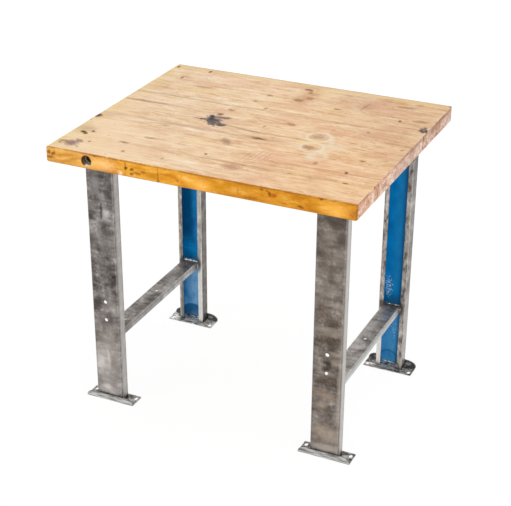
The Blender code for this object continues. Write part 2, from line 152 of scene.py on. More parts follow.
TOP_MARKS = marks(
    # Ink blot
    (-118, -2, 46, 28, (176, 146, 138), 40, 70, -50),
    (-131, -18, 38, 17, (90, 81, 84), 95, 30, -60),
    (-118, -10, 15, 10, (88, 74, 78), 85, 40, 5),
    (-117, -44, 12, 10, (104, 90, 94), 85, 45, -50),
    (-146, 13, 9, 8, (66, 52, 40), 100, 35, -40),
    (-131, 36, 9, 9, (126, 96, 58), 90, 40, 10),
    (-116, 13, 26, 8, (118, 88, 84), 85, 45, 3),
    (-97, 15, 9, 9, (134, 98, 74), 75, 50),
    (-159, -18, 21, 5.5, (84, 62, 54), 90, 45, 3),
    (-92, -41, 15, 11, (94, 74, 72), 95, 40, 12),
    (-105, -26, 22, 5, (86, 74, 80), 85, 50, -50),
    (-138, -4, 20, 5, (52, 48, 52), 75, 50, -65),
    # Purple-grey spill by the front left corner
    (-404.5, -338, 19, 19, (146, 114, 106), 90, 45, 10),
    (-393, -315, 14, 9, (142, 112, 102), 75, 45, -30),
    (-430, -333, 15, 8, (150, 112, 84), 75, 45, 10),
    (-437, -346, 7, 5, (150, 112, 78), 70, 45, -40),
    (-376, -355, 9, 4, (160, 124, 96), 60, 50, -40),
    # Dark rims of the nail holes
    (-440, 364, 5.5, 8, (92, 64, 40), 90, 45),
    (-326, 362, 5.5, 8, (92, 64, 40), 90, 45),
    (-382, 276, 5.5, 8, (92, 64, 40), 90, 45),
    # Knots at the left
    (-417, -253, 11, 7, SOOT, 100, 40, -20),
    (-407, -262, 7, 6, UMBER, 85, 45, -40),
    (-394, -239, 5, 7, UMBER, 90, 40, 20),
    (-424, -226, 30, 22, PLUM, 34),
    (-448, -122, 12, 13, SOOT, 100, 35),
    (-420, -105, 34, 22, RUST, 35, 80, 30),
    (-454, -157, 6, 6, (118, 100, 92), 75, 45),
    # Streak knot and smudge in the middle
    (49, -90, 19, 6, UMBER, 90, 45, 3),
    (49, -90, 40, 10, BROWN, 35, 80, 3),
    (-22, -148, 25, 13, (150, 114, 88), 66, 58, -50),
    # Brown stains towards the back
    (17, 340, 10, 10, (146, 96, 64), 85, 45),
    (30, 334, 7, 8, (140, 96, 60), 80, 45),
    (36, 316, 8, 8, (154, 100, 72), 80, 45),
    (50, 308, 17, 11, (186, 136, 104), 50, 60, 15),
    (52, 270, 13, 12, (148, 98, 68), 70, 50),
    (27, 241, 17, 11, (130, 92, 62), 80, 45),
    (38, 278, 52, 28, (194, 136, 102), 60, 80, 85),
    (-65, 241, 9, 6, UMBER, 58, 50),
    (-86, 179, 6, 7, BROWN, 60, 50),
    (-117, 83, 10, 7, BROWN, 70, 45),
    (-31, 136, 6, 9, BROWN, 60, 50),
    (86, 49, 17, 9, BROWN, 60, 50, -15),
    (25, 3, 5, 9, BROWN, 55, 50),
    (161, 219, 9, 6, BROWN, 75, 45),
    (358, 204, 4.5, 9, UMBER, 66, 45, 10),
    (414, 225, 22, 7, BROWN, 65, 50, 5),
    (444, 165, 13, 21, (84, 76, 66), 95, 30),
    (455, 157, 7, 8, (92, 66, 44), 90, 40),
    (452, 180, 4, 7, CHALK, 70, 50),
    (457, 388, 9, 12, (96, 88, 80), 95, 50),
    (340, 318, 26, 8, (150, 108, 56), 65, 50, 5),
    (318, 346, 17, 8, (206, 152, 70), 75, 55, 5),
    (371, 352, 14, 6, BROWN, 50, 50, 10),
    (270, 276, 100, 34, RUST, 20, 90, 5),
    (309, 83, 5, 5, UMBER, 60, 45),
    (358, 65, 62, 26, RUST, 32, 85),
    (438, -3, 5, 5, BROWN, 65, 45),
    (367, -121, 10, 5, BROWN, 75, 45),
    (358, -213, 5, 10, UMBER, 80, 40, 15),
    (380, -278, 8, 4, UMBER, 85, 40),
    (225, -281, 6, 3, BROWN, 70, 45),
    (259, -185, 7, 11, BROWN, 45, 55, 15),
    (-31, -253, 4, 5, UMBER, 80, 40),
    (70, -304, 28, 20, (188, 140, 112), 72, 55),
    (-275, -275, 14, 5, UMBER, 66, 50),
    (-225, -216, 16, 6, BROWN, 60, 50),
    (-244, -331, 6, 7, BROWN, 60, 45),
    (-123, -331, 5, 5, BROWN, 55, 50),
    (-364, -309, 4, 5, UMBER, 70, 40),
    (213, 56, 7, 12, TAN, 50, 60),
    # Open and stained glue joints and long streaks
    (-285, 117, 190, 4.6, UMBER, 36),
    (150, 117, 330, 4.6, BROWN, 28),
    (-375, 42, 95, 6.5, BROWN, 66),
    (-27, -42, 62, 4.6, MOSS, 50, 70, -5),
    (95, -47, 75, 4.4, MOSS, 40, 70),
    (-140, -88, 260, 9, (172, 122, 92), 44, 90),
    (-232, -112, 10, 9, BROWN, 40, 70),
    (125, -279, 340, 6.4, BROWN, 30),
    (305, -220, 160, 4.4, BROWN, 22),
    (-150, -192, 120, 11, (246, 220, 172), 45, 90),
    (-130, 207, 260, 9, (248, 222, 178), 30, 90),
    (-290, 95, 120, 12, (248, 222, 180), 35, 90),
    # Cross scratches in front of the middle
    (72, -215, 3, 40, RUST, 42, 70, -6),
    (84, -222, 2.5, 34, RUST, 46, 70, -6),
    (97, -206, 3, 42, RUST, 38, 70, -6),
    (110, -214, 2.5, 36, RUST, 46, 70, -6),
    (124, -212, 3, 38, RUST, 42, 70, -6),
    (133, -220, 2.5, 30, RUST, 34, 70, -6),
    # Chalky smears and a worn spot by the cup rings
    (265, -52, 34, 12, CHALK, 50, 90, 25),
    (240, -20, 8, 30, CHALK, 85, 80, 20),
    (270, -66, 30, 8, CHALK, 70),
    (247, -98, 18, 24, CHALK, 45, 90, 20),
    (230, -150, 16, 18, CHALK, 75, 90),
    (166, -4, 7, 30, CHALK, 35, 80, 10),
    (200, -90, 22, 12, (166, 128, 94), 85, 75, -8),
    (196, -8, 24, 19, (180, 142, 112), 78),
    # Rubbed and reddened ground at the back right
    (228, 276, 5, 30, BROWN, 55, 70, -8),
    (150, 292, 4, 26, (196, 154, 120), 45, 80, -10),
    (232, 300, 22, 26, PLUM, 22, 90, 10),
    (320, 268, 46, 10, (244, 208, 176), 45, 90, 10),
    (344, 70, 52, 30, RUST, 30, 90),
    (-214, -160, 22, 26, RUST, 22, 90),
)

# Pale cup rings: centre, radius, half width of the band, strength
TOP_RINGS = [
    (197, -9, 34, 5.2, 0.7),
    (208, -86, 33, 5.2, 0.76),
    (246, -140, 24, 8, 0.42),
    (176, 4, 40, 5, 0.36),
]

# Marks on the varnished front edge: u along the edge, v up from its lower arris
FRONT_MARKS = marks(
    (-204, 29, 2.4, 12, (112, 68, 20), 60, 60, 3),
    (-204, 25, 5.5, 4, (100, 58, 14), 90, 50),
    (-185, 24, 5.5, 4, (118, 70, 16), 85, 50, 10),
    (-186, 10, 5, 3.6, (118, 70, 16), 80, 50),
    (-168, 15, 10, 3.6, (132, 80, 18), 66, 60),
    (-149, 22, 9, 4.5, (140, 84, 16), 66, 60),
    (-118, 17, 24, 7, (164, 102, 14), 58),
    (-82, 17, 24, 5.5, (206, 134, 26), 55),
    (-106, 26, 1.8, 18, (126, 80, 24), 60, 60, -1),
    (-105.5, 5, 4, 5, (104, 74, 30), 70, 60),
    (-90, 27, 14, 2.2, (160, 100, 30), 45, 60, 2),
    (-47.5, 17, 5, 3.2, (150, 92, 30), 70, 50),
    (-298, 43, 10, 2.6, (118, 74, 28), 70, 60),
    (-250, 42, 16, 3, (196, 124, 40), 55, 70),
    (-445, 30, 6, 6, (110, 62, 10), 80, 60, 10),
    (-432, 27, 8, 5, (110, 62, 10), 80, 60, 40),
    (-443, 15, 12, 4, (120, 70, 12), 80, 70),
    (-365, 23, 22, 4, (172, 110, 20), 60, 80, 14),
    (-400, 10, 34, 4, (176, 116, 26), 55, 80, 6),
    (-221, 5, 8, 7, (242, 210, 172), 75, 60, 80),
    (-268, 22, 32, 14, (250, 200, 136), 55, 90),
    (-395, 29, 32, 5, (172, 110, 20), 60, 80, 11),
    (20, 18, 26, 16, (244, 184, 92), 45, 90),
    (100, 35, 16, 6, (170, 110, 12), 62, 70),
    (76, 25, 30, 10, (194, 130, 14), 52),
    (129, 20, 1.8, 12, (176, 112, 30), 60, 60),
    (166, 8, 18, 4, (150, 92, 18), 75, 70, 5),
    (196, 39, 6, 3.2, (140, 84, 22), 75, 50),
    (214, 36, 7, 3.2, (146, 88, 22), 75, 50, -20),
    (219, 28, 4, 7, (124, 66, 10), 90, 50),
    (230, 28, 9, 6, (166, 80, 10), 85, 60, 10),
    (208, 17, 26, 3.2, (196, 122, 40), 50, 70, 5),
    (294, 34, 18, 6, (166, 102, 18), 60, 70),
    (306, 10, 8, 3, (116, 68, 18), 80, 55),
    (361, 42, 4.5, 2.8, (96, 58, 20), 85, 50),
    (384, 16, 14, 2.6, (166, 106, 34), 60, 60, 8),
    (445, 14, 4, 5, (150, 92, 28), 60, 60),
    (456, 22, 3, 22, (120, 72, 26), 65, 60),
    (400, 20, 34, 14, (246, 186, 92), 45, 90),
)

# Marks on the right end: u along y, v up from the lower arris
END_MARKS = marks(
    (20, 26, 14, 18, (146, 104, 80), 55),
    (60, 38, 50, 6, (140, 100, 76), 45),
    (212, 34, 34, 9, (150, 108, 82), 55),
    (310, 39, 70, 5, (150, 110, 86), 50),
    (-240, 24, 20, 6, (176, 122, 92), 45, 80, -25),
    (-170, 14, 26, 4, (184, 128, 94), 45, 80, -25),
    (-45, 20, 60, 15, (224, 198, 188), 40, 90),
    (-386, 22, 6, 24, (150, 92, 44), 60, 60),
)

# Nail holes in the top: centre and diameter
NAIL_HOLES = [(-440, 365, 5), (-326, 363, 5), (-382, 276, 5.5)]
NAIL_DEPTH = 6


def rgb(tint):
    """A screen colour as the linear colour that shaders take."""
    linear = [((c / 255 + 0.055) / 1.055) ** 2.4 if c > 10 else c / 255 / 12.92 for c in tint]
    return (*linear, 1)


def pair(operation):
    """A field's method for a math node of two values."""
    return lambda self, other: self.graph.math(operation, self, other)


class Field:
    """A value that varies over a surface, carried by one node's output socket."""

    def __init__(self, graph, socket):
        self.graph = graph
        self.socket = socket

    __add__ = __radd__ = pair("ADD")
    __sub__ = pair("SUBTRACT")
    __mul__ = __rmul__ = pair("MULTIPLY")
    __truediv__ = pair("DIVIDE")
    most = pair("MAXIMUM")

    def __rsub__(self, other):
        return self.graph.math("SUBTRACT", other, self)

    def __abs__(self):
        return self.graph.math("ABSOLUTE", self)

    def swing(self, size):
        """A noise of 0 to 1, moved to lie about 0 and scaled."""
        return (self - NOISE_MIDDLE) * size

    def rise(self, low, high, top=1):
        """0 below low, top above high, smooth between; low may be the larger."""
        feeds = {"Value": self, "From Min": low, "From Max": high, "To Min": 0, "To Max": top}
        return self.graph.field("MapRange", feeds, "Result", interpolation_type="SMOOTHSTEP")

    def coat(self, share, tint, mode="MIX"):
        return self.graph.blend(self, share, tint, mode)

    def coats(self, *layers):
        """This colour under layers of share, tint and, unless it is a plain mix, mode."""
        colour = self
        for layer in layers:
            colour = colour.coat(*layer)
        return colour


class Graph:
    """The nodes of a material or world, with short ways to add and feed them."""

    def __init__(self, owner):
        owner.use_nodes = True
        self.tree = owner.node_tree
        self.tree.nodes.clear()

    def node(self, kind, feeds=(), **settings):
        """A new node with its settings, its inputs fed from fields or plain values."""
        made = self.tree.nodes.new("ShaderNode" + kind)
        for key, value in settings.items():
            setattr(made, key, value)
        for key, value in dict(feeds).items():
            if isinstance(value, Field):
                self.tree.links.new(value.socket, made.inputs[key])
            else:
                made.inputs[key].default_value = value
        return made

    def field(self, kind, feeds=(), output=0, **settings):
        return Field(self, self.node(kind, feeds, **settings).outputs[output])

    def math(self, operation, *values):
        return self.field("Math", enumerate(values), operation=operation)

    def vector_math(self, operation, feeds, output="Value"):
        return self.field("VectorMath", feeds, output, operation=operation)

    def mix_shaders(self, share, under, over):
        return self.field("MixShader", {0: share, 1: under, 2: over})


class Surface(Graph):
    """A new material's nodes, with the place in millimetres and the normal as fields."""

    def __init__(self, name):
        self.material = bpy.data.materials.new(name)
        super().__init__(self.material)
        where = self.field("TexCoord", output="Object")
        scaled = self.vector_math("SCALE", {0: where, "Scale": 1 / MM}, "Vector")
        self.x, self.y, self.z = self.axes = self.split(scaled)
        self.normal = self.split(self.field("TexCoord", output="Normal"))

    def split(self, vector):
        return [Field(self, out) for out in self.node("SeparateXYZ", {0: vector}).outputs]

    def join(self, parts):
        return self.field("CombineXYZ", enumerate(parts))

    def place(self, scale):
        return [part * scale for part in self.axes]

    def hypot(self, one, other):
        return self.math("SQRT", one * one + other * other)

    def noise(self, place, detail=2, roughness=0.5, output="Fac"):
        feeds = {"Vector": self.join(place), "Scale": 1, "Detail": detail, "Roughness": roughness}
        return self.field("TexNoise", feeds, output)

    def lengths(self, along, across):
        """A random level for each of the short lengths that the staves look pieced from."""
        row = self.math("FLOOR", across / LENGTH_WIDTH)
        count = self.math("FLOOR", along / LENGTH_RUN + row * LENGTH_STAGGER)
        feeds = {"Vector": self.join((count, row, 0))}
        return self.field("TexWhiteNoise", feeds, "Value", noise_dimensions="2D")

    def sway(self, parts, seed, size, reach):
        """A flat place whose points wander by up to about reach, in patches of the given size."""
        wander = self.noise([part / size for part in parts] + [seed], 3, 0.6, "Color")
        return self.join([part + shift.swing(2 * reach) for part, shift in zip(parts, self.split(wander))])

    def reach(self, plane, centre, size, turn=0):
        """Distance from a centre in the plane, 1 at the edge of an ellipse of the given half sizes."""
        feeds = {
            "Vector": plane if isinstance(plane, Field) else self.join(plane),
            "Location": (*centre, 0),
            "Rotation": (0, 0, radians(turn)),
            "Scale": (*size, 1),
        }
        return self.vector_math("LENGTH", {0: self.field("Mapping", feeds, vector_type="TEXTURE")})

    def blend(self, under, share, over, mode="MIX"):
        """One colour over another; each is a field or a tint."""
        under, over = [c if isinstance(c, Field) else rgb(c) for c in (under, over)]
        return self.field("Mix", {0: share, 6: under, 7: over}, 2, data_type="RGBA", blend_type=mode)

    def tones(self, value, stops):
        """A colour for each level of a value, from stops of a percent and a tint."""
        made = self.node("ValToRGB", {0: value})
        elements = made.color_ramp.elements
        while len(elements) < len(stops):
            elements.new(0.5)
        for element, (percent, *tint) in zip(elements, stops):
            element.position = percent / 100
            element.color = rgb(tint)
        return Field(self, made.outputs[0])

    def stain(self, colour, plane, rows, ragged, veil=1):
        """Marks over a colour; ragged breaks up their outlines, and veil thins the soft ones."""
        for mark in rows:
            away = self.reach(plane, (mark.u, mark.v), (mark.length, mark.width), mark.turn) + ragged
            share = away.rise(1 + mark.soft, 1 - mark.soft, mark.strength)
            if mark.soft >= SOFT_MARK:
                share = share * veil
            colour = colour.coat(share, mark.tint)
        return colour

    def edges(self, radius):
        """1 on edges, 0 on flats, from how far a rounded normal leans from the true one."""
        soft = self.field("Bevel", {"Radius": radius * MM}, samples=4)
        true = self.field("NewGeometry", output="True Normal")
        return self.vector_math("DOT_PRODUCT", {0: soft, 1: true}).rise(0.985, 0.86)

    def finish(self, colour, roughness, metallic, height, relief, specular=0.5):
        """The finished material; relief is the depth of its roughness in millimetres."""
        feeds = {
            "Base Color": colour,
            "Roughness": roughness,
            "Metallic": metallic,
            "Specular IOR Level": specular,
            "Normal": self.field("Bump", {"Distance": relief * MM, "Height": height}),
        }
        self.node("OutputMaterial", {"Surface": self.field("BsdfPrincipled", feeds)})
        return self.material


NOISE_MIDDLE = 0.5

# Wood, sizes in millimetres
LENGTH_RUN = 150
LENGTH_WIDTH = 19.5
LENGTH_STAGGER = 0.37
MARK_REACH = 34
RING_REACH = 32
MAPLE_TONES = [(20, 182, 134, 97), (42, 228, 191, 152), (56, 242, 212, 177), (80, 253, 237, 211)]
VARNISH_TONES = [(25, 160, 94, 22), (43, 203, 136, 38), (58, 220, 158, 54), (80, 238, 192, 118)]
END_TONES = [(22, 128, 82, 56), (42, 194, 147, 121), (58, 220, 186, 163), (80, 244, 230, 221)]
# Grey-olive of the bore's deeper wall and bottom: painted shade on raw wood
BORE_SHADED_GREY = (134, 128, 106)


def span(mark):
    """How far a mark on the top reaches from its centre, across the staves."""
    return max(mark.length * abs(sin(radians(mark.turn))), mark.width) * (1 + mark.soft)


def maple(number, low_y, high_y):
    """One stave: grain along x, amber varnish on the long edges, end grain at the ends."""
    draw = random.Random(number)
    graph = Surface(f"worn_maple_{number:02d}")
    x, y, z = graph.axes
    along = x + draw.uniform(1000, 9000)
    across = y + graph.noise((along * 0.006, y * 0.02, z * 0.02)) * 7
    band = graph.noise((along * 0.009, across * 0.07, z * 0.07), 3)
    streak = graph.noise((along * 0.024, across * 0.15, z * 0.15), 3)
    fibre = graph.noise((along * 0.07, across * 0.6, z * 0.6))
    patch = graph.noise((x * 0.016, y * 0.022, z * 0.022), 4, 0.6)
    grit = graph.noise((x * 0.09 + 7, y * 0.2, z * 0.2), 5, 0.65)
    tone = band.swing(0.55) + streak.swing(0.55) + fibre.swing(0.3) + patch.swing(0.5) + grit.swing(0.26)
    tone = tone + graph.lengths(along, y).swing(0.07) + (0.52 + draw.uniform(-0.03, 0.03))
    drift = graph.noise((x * 0.0045 + 3, y * 0.0085, 5), 3, 0.55)
    slant = x + y * 0.8
    dash = graph.noise((along * 0.055, across * 0.19, z * 0.19))
    crowd = patch.swing(0.26) + (x + y * 0.7).rise(60, 420, 0.05)
    fleck = (dash + crowd).rise(0.67, 0.76, 0.46)
    wood = graph.tones(tone, MAPLE_TONES).coats(
        (drift.rise(0.5, 0.68, 0.42), (226, 176, 144)),
        (drift.rise(0.46, 0.3, 0.45), (248, 222, 166)),
        (x.rise(-250, 420, 0.4), (250, 214, 168), "MULTIPLY"),
        (slant.rise(-240, -560, 0.55), (255, 225, 184)),
        (slant.rise(140, 520, 0.4), (226, 238, 255), "MULTIPLY"),
        ((x + patch.swing(160)).rise(-395, -450, 0.45), (232, 206, 138)),
        (fleck, BROWN),
    )
    if number == len(STAVES):
        wood = wood.coats(
            ((y + patch.swing(20)).rise(352, 372, 0.55), (236, 202, 140)),
            ((y + grit.swing(8)).rise(380, 386, 0.6), (198, 184, 160)),
        )

    plane = graph.sway((x, y), 3.7, 16, 5)
    ragged = grit.swing(2.4)
    veil = (streak * 0.5 + fibre * 0.5).rise(0.36, 0.58)
    middle = (low_y + high_y) / 2
    near = [m for m in TOP_MARKS if abs(m.v - middle) < MARK_REACH + span(m)]
    lines = [m for m in near if m.length > LINE_SHARE * m.width]
    blots = [m for m in near if m not in lines]
    stained = graph.stain(wood, graph.sway((x, y), 5.2, 70, 2), lines, streak.swing(2))
    stained = graph.stain(stained, plane, blots, ragged, veil * 0.7 + 0.4)
    for u, v, radius, band_half, strength in TOP_RINGS:
        if abs(v - middle) < RING_REACH + radius + band_half:
            edge = abs(graph.reach(plane, (u, v), (radius, radius)) - 1) * (radius / band_half)
            share = (edge + ragged).rise(1.5, 0.1, strength) * patch.rise(0.24, 0.5)
            stained = stained.coat(share, CHALK)

    ring_y = draw.uniform(low_y - 50, high_y + 50)
    ring_z = draw.choice((UNDER_Z - draw.uniform(5, 60), TOP_Z + draw.uniform(5, 60)))
    waver = graph.noise((y * 0.12, z * 0.12, x * 0.01), 3) * 5
    radius = graph.hypot(y - ring_y, z - ring_z) + waver
    growth = graph.math("SINE", radius * (2 * pi / draw.uniform(2.6, 4.2))) * 0.1
    scrub = graph.noise((x * 0.2, y * 0.2 + z * 0.08, z * 0.1), 4, 0.65)
    patchy = graph.noise((y * 0.035, z * 0.05, 4), 3, 0.6)
    end_tone = growth + scrub.swing(1) + patchy.swing(0.8) + (0.55 + draw.uniform(-0.08, 0.08))
    bruise = (patchy + scrub.swing(0.6)).rise(0.46, 0.6, 0.3)
    end_tone = end_tone - (z + scrub.swing(26)).rise(TOP_Z - 12, TOP_Z - 2) * bruise
    ends = [m for m in END_MARKS if low_y - m.length < m.u < high_y + m.length]
    end_plane = graph.sway((y, z - UNDER_Z), 2.9, 12, 3)
    end_grain = graph.stain(graph.tones(end_tone, END_TONES), end_plane, ends, scrub.swing(2))
    end_grain = end_grain.coat(y.rise(-60, -330, 0.45), (255, 236, 218), "MULTIPLY")

    at_end = abs(graph.normal[0]).rise(0.45, 0.8)
    upward = graph.normal[2].rise(0.35, 0.75)
    colour = wood.coats((0.35, TAN, "MULTIPLY"), (upward, stained), (at_end, end_grain))
    rough = 0.46 + streak.swing(0.35) + at_end * 0.12
    if number in (1, len(STAVES)):
        colour, rough = varnish(graph, colour, rough, along, number == 1)
    height = fibre * 0.35 + streak * 0.5 - fleck + at_end * scrub
    return graph.finish(colour, rough, 0, height, relief=0.16, specular=0.06)


def varnish(graph, colour, rough, along, front):
    """Amber varnish over a long edge; the front one also carries its marks and the bore."""
    x, y, z = graph.axes
    blot = graph.noise((along * 0.014, z * 0.045, 2), 4, 0.62)
    line = graph.noise((along * 0.02, z * 0.5, y * 0.5), 3)
    crumb = graph.noise((along * 0.11, z * 0.16, 6), 4, 0.7)
    tone = blot.swing(0.95) + line.swing(0.4) + crumb.swing(0.3) + 0.5
    amber = graph.tones(tone, VARNISH_TONES).coats(
        (blot.rise(0.54, 0.68, 0.22), (244, 188, 120)),
        (blot.rise(0.46, 0.32, 0.25), (194, 128, 14)),
        (x.rise(-230, -340, 0.3), (232, 186, 122)),
        (x.rise(-30, 150, 0.42), (200, 182, 90), "MULTIPLY"),
    )
    if front:
        flat = graph.sway((x, z - UNDER_Z), 8.1, 9, 2.2)
        amber = graph.stain(amber, flat, FRONT_MARKS, crumb.swing(2.4))
    arris = (z + crumb.swing(12)).rise(TOP_Z - 4, TOP_Z - 1.5, 0.6) * blot.rise(0.66, 0.46)
    foot = (z + crumb.swing(9)).rise(UNDER_Z + 5.5, UNDER_Z + 1.5, 0.5)
    amber = amber.coats(
        (crumb.rise(0.6, 0.7, 0.6), (152, 86, 12)),
        (arris, (150, 86, 16)),
        (foot, (172, 112, 40)),
    )
    outward = -1 if front else 1
    run_over = (y * outward - EDGE_Y + crumb.swing(10)).rise(-5.5, -3.5, 0.8)
    share = (graph.normal[1] * outward).rise(0.25, 0.6).most(run_over)
    colour = colour.coat(share, amber)
    if front:
        colour = bored(graph, colour)
    return colour, rough - share * 0.14


def bored(graph, colour):
    """The bore, its light and shade painted: raw sides with a painted highlight low down, grey-olive painted
    shade deeper in, a bottom darkened by painted shade and a painted shaded rim on one side.
    """
    aside = graph.x - BORE_X
    depth = graph.y + EDGE_Y
    up = graph.z - (TOP_Z + UNDER_Z) / 2
    away = graph.reach((aside, up), (0, 0), (BORE_RADIUS, BORE_RADIUS))
    inside = depth.rise(0.6, 2) * away.rise(1.12, 1.06)
    bottom = depth.rise(BORE_DEPTH - 3, BORE_DEPTH - 1)
    painted_shade = graph.reach((aside, up), (0, 2), (11, 11)).rise(1.25, 0.8)
    raw_wall_light_and_shade = graph.blend((92, 60, 34), depth.rise(4, 9) * up.rise(9, 3), BORE_SHADED_GREY).coats(
        # Painted highlight on the lower wall near the mouth
        (up.rise(-7, -11.5) * aside.rise(-10, -5), (255, 236, 226)),
        (bottom, graph.blend(BORE_SHADED_GREY, painted_shade, (40, 28, 18))),
    )
    shaded_rim = abs(away - 1.03).rise(0.14, 0.04, 0.75) * (aside - up).rise(9, -9)
    return colour.coats((inside, raw_wall_light_and_shade), (shaded_rim, (70, 42, 18)))


# Steel
STEEL_TONES = [(18, 56, 52, 49), (40, 96, 91, 87), (58, 134, 129, 125), (84, 190, 187, 184)]
SCALE_TONES = [(40, 22, 20, 20), (46, 92, 90, 88), (52, 200, 199, 197), (64, 246, 246, 245)]
STREAK_TONES = [(36, 84, 81, 79), (50, 186, 185, 183), (70, 236, 236, 234)]
BURNT = (62, 56, 52)
# Bare steel on the bends, also standing for the painted highlight that the bends catch
BARE_AND_SHEEN = (196, 191, 184)

# Tint of each leg, and how far its side flanges are lightened: rubbed bare steel with painted light
LEG_TINT_AND_LIGHT = {
    "front_left": ((252, 249, 249), 0.6),
    "front_right": ((252, 245, 238), 0.75),
    "rear_left": ((250, 246, 242), 0.05),
    "rear_right": ((250, 248, 246), 0.22),
}

# Marks on the front webs: u across the leg, v up from the floor
LEFT_LEG_MARKS = marks(
    # Dark band just below the bench top: painted shade
    (-8, 772, 44, 24, (94, 89, 89), 55),
    (-12, 716, 11, 22, (162, 158, 160), 60, 65, 8),
    (8, 686, 14, 9, (154, 151, 151), 52, 65, 30),
    (32, 706, 12, 70, (84, 81, 79), 55),
    (16, 630, 9, 24, (174, 171, 170), 62, 60, 6),
    (2, 634, 4, 24, (70, 67, 67), 75, 50),
    (-28, 650, 14, 12, (140, 136, 134), 45, 70),
    (6, 540, 34, 34, (140, 136, 132), 50, 80, 10),
    (-12, 514, 7, 14, (72, 69, 67), 70, 60, 10),
    (0, 462, 40, 22, (100, 96, 93), 45),
    (-34, 440, 8, 26, (72, 69, 62), 65, 70),
    (10, 412, 18, 14, (92, 88, 84), 50, 80, -10),
    (-28, 326, 14, 28, (74, 69, 65), 70, 70),
    (16, 330, 22, 22, (146, 140, 134), 50),
    (2, 215, 42, 60, (166, 160, 154), 50),
    (0, 110, 42, 74, (194, 189, 184), 59),
    (-10, 252, 8, 16, (112, 104, 100), 55, 70),
    (2, 154, 5, 26, (214, 204, 192), 60, 70, 4),
    (-28, 136, 9, 34, (204, 201, 197), 55, 70, 6),
    (20, 134, 9, 18, (132, 122, 114), 60, 70, -10),
    (18, 88, 12, 14, (142, 134, 128), 50, 80, 30),
    (-8, 50, 16, 8, (214, 210, 205), 55, 70),
    (0, 35, 44, 11, (202, 196, 192), 52),
)

RIGHT_LEG_MARKS = marks(
    # Dark band just below the bench top: painted shade
    (0, 756, 44, 26, (84, 79, 75), 60),
    (0, 660, 44, 60, (122, 115, 109), 40),
    (0, 702, 14, 10, (138, 131, 126), 50),
    (10, 664, 7, 6, (148, 143, 138), 50, 70),
    (2, 590, 6, 36, (98, 91, 85), 55),
    (-6, 540, 42, 16, (140, 136, 132), 50, 80, 4),
    (6, 500, 36, 5, (156, 149, 142), 55, 80, 2),
    (10, 446, 26, 20, (76, 65, 55), 72),
    (-20, 470, 22, 20, (98, 85, 73), 55, 80, 6),
    (-2, 421, 34, 7, (158, 149, 138), 62, 85, 3),
    (10, 408, 20, 5, (160, 150, 139), 55, 70, -8),
    (0, 384, 38, 16, (78, 66, 55), 70),
    (18, 350, 12, 6, (158, 149, 139), 60, 70, -10),
    (2, 314, 11, 16, (56, 49, 44), 80, 65, 10),
    (24, 324, 10, 10, (164, 155, 145), 60, 70),
    (-4, 295, 10, 6, (64, 57, 51), 70, 70),
    (16, 282, 14, 8, (150, 141, 131), 50, 80, -12),
    (4, 256, 30, 16, (80, 67, 56), 70, 80, -6),
    (-4, 210, 36, 12, (150, 134, 118), 55, 80, -4),
    (-14, 176, 16, 9, (168, 155, 140), 60, 70, 6),
    (4, 142, 9, 26, (108, 100, 92), 50, 70),
    (-16, 100, 16, 9, (172, 162, 150), 55, 80, 8),
    (4, 84, 36, 24, (172, 162, 151), 60, 80, 8),
    (-16, 64, 8, 8, (102, 94, 87), 55, 70),
    (2, 36, 44, 13, (196, 190, 186), 55),
    (40, 210, 6, 150, (178, 173, 168), 50),
)
LEG_MARKS = {"front_left": LEFT_LEG_MARKS, "front_right": RIGHT_LEG_MARKS}


def scoured(graph, u, v, w, seed, spread=1):
    """Clouded, wire-brushed sheet: a tone of about one half, brush lines and specks."""
    cloud = graph.noise((u * 0.022, v * 0.022, w * 0.02 + seed), 3, 0.55)
    smear = graph.noise((u * 0.02, v * 0.02, w * 0.052 + seed * 2), 4, 0.6)
    speck = graph.noise((u * 0.14, v * 0.14, w * 0.12 + seed), 4, 0.6)
    brush = graph.noise((u * 1.6, v * 1.6, w * 0.035 + seed))
    tone = cloud.swing(0.8) + smear.swing(0.78) + speck.swing(0.4) + brush.swing(0.16)
    return tone * spread + 0.5, brush, speck


def leg_place(graph, row, side):
    """Places on a leg or foot: across from the leg's middle, and inwards from its web's face."""
    return graph.x - SIGN[side] * LEG_X, LEG_FACE_Y - graph.y * SIGN[row]


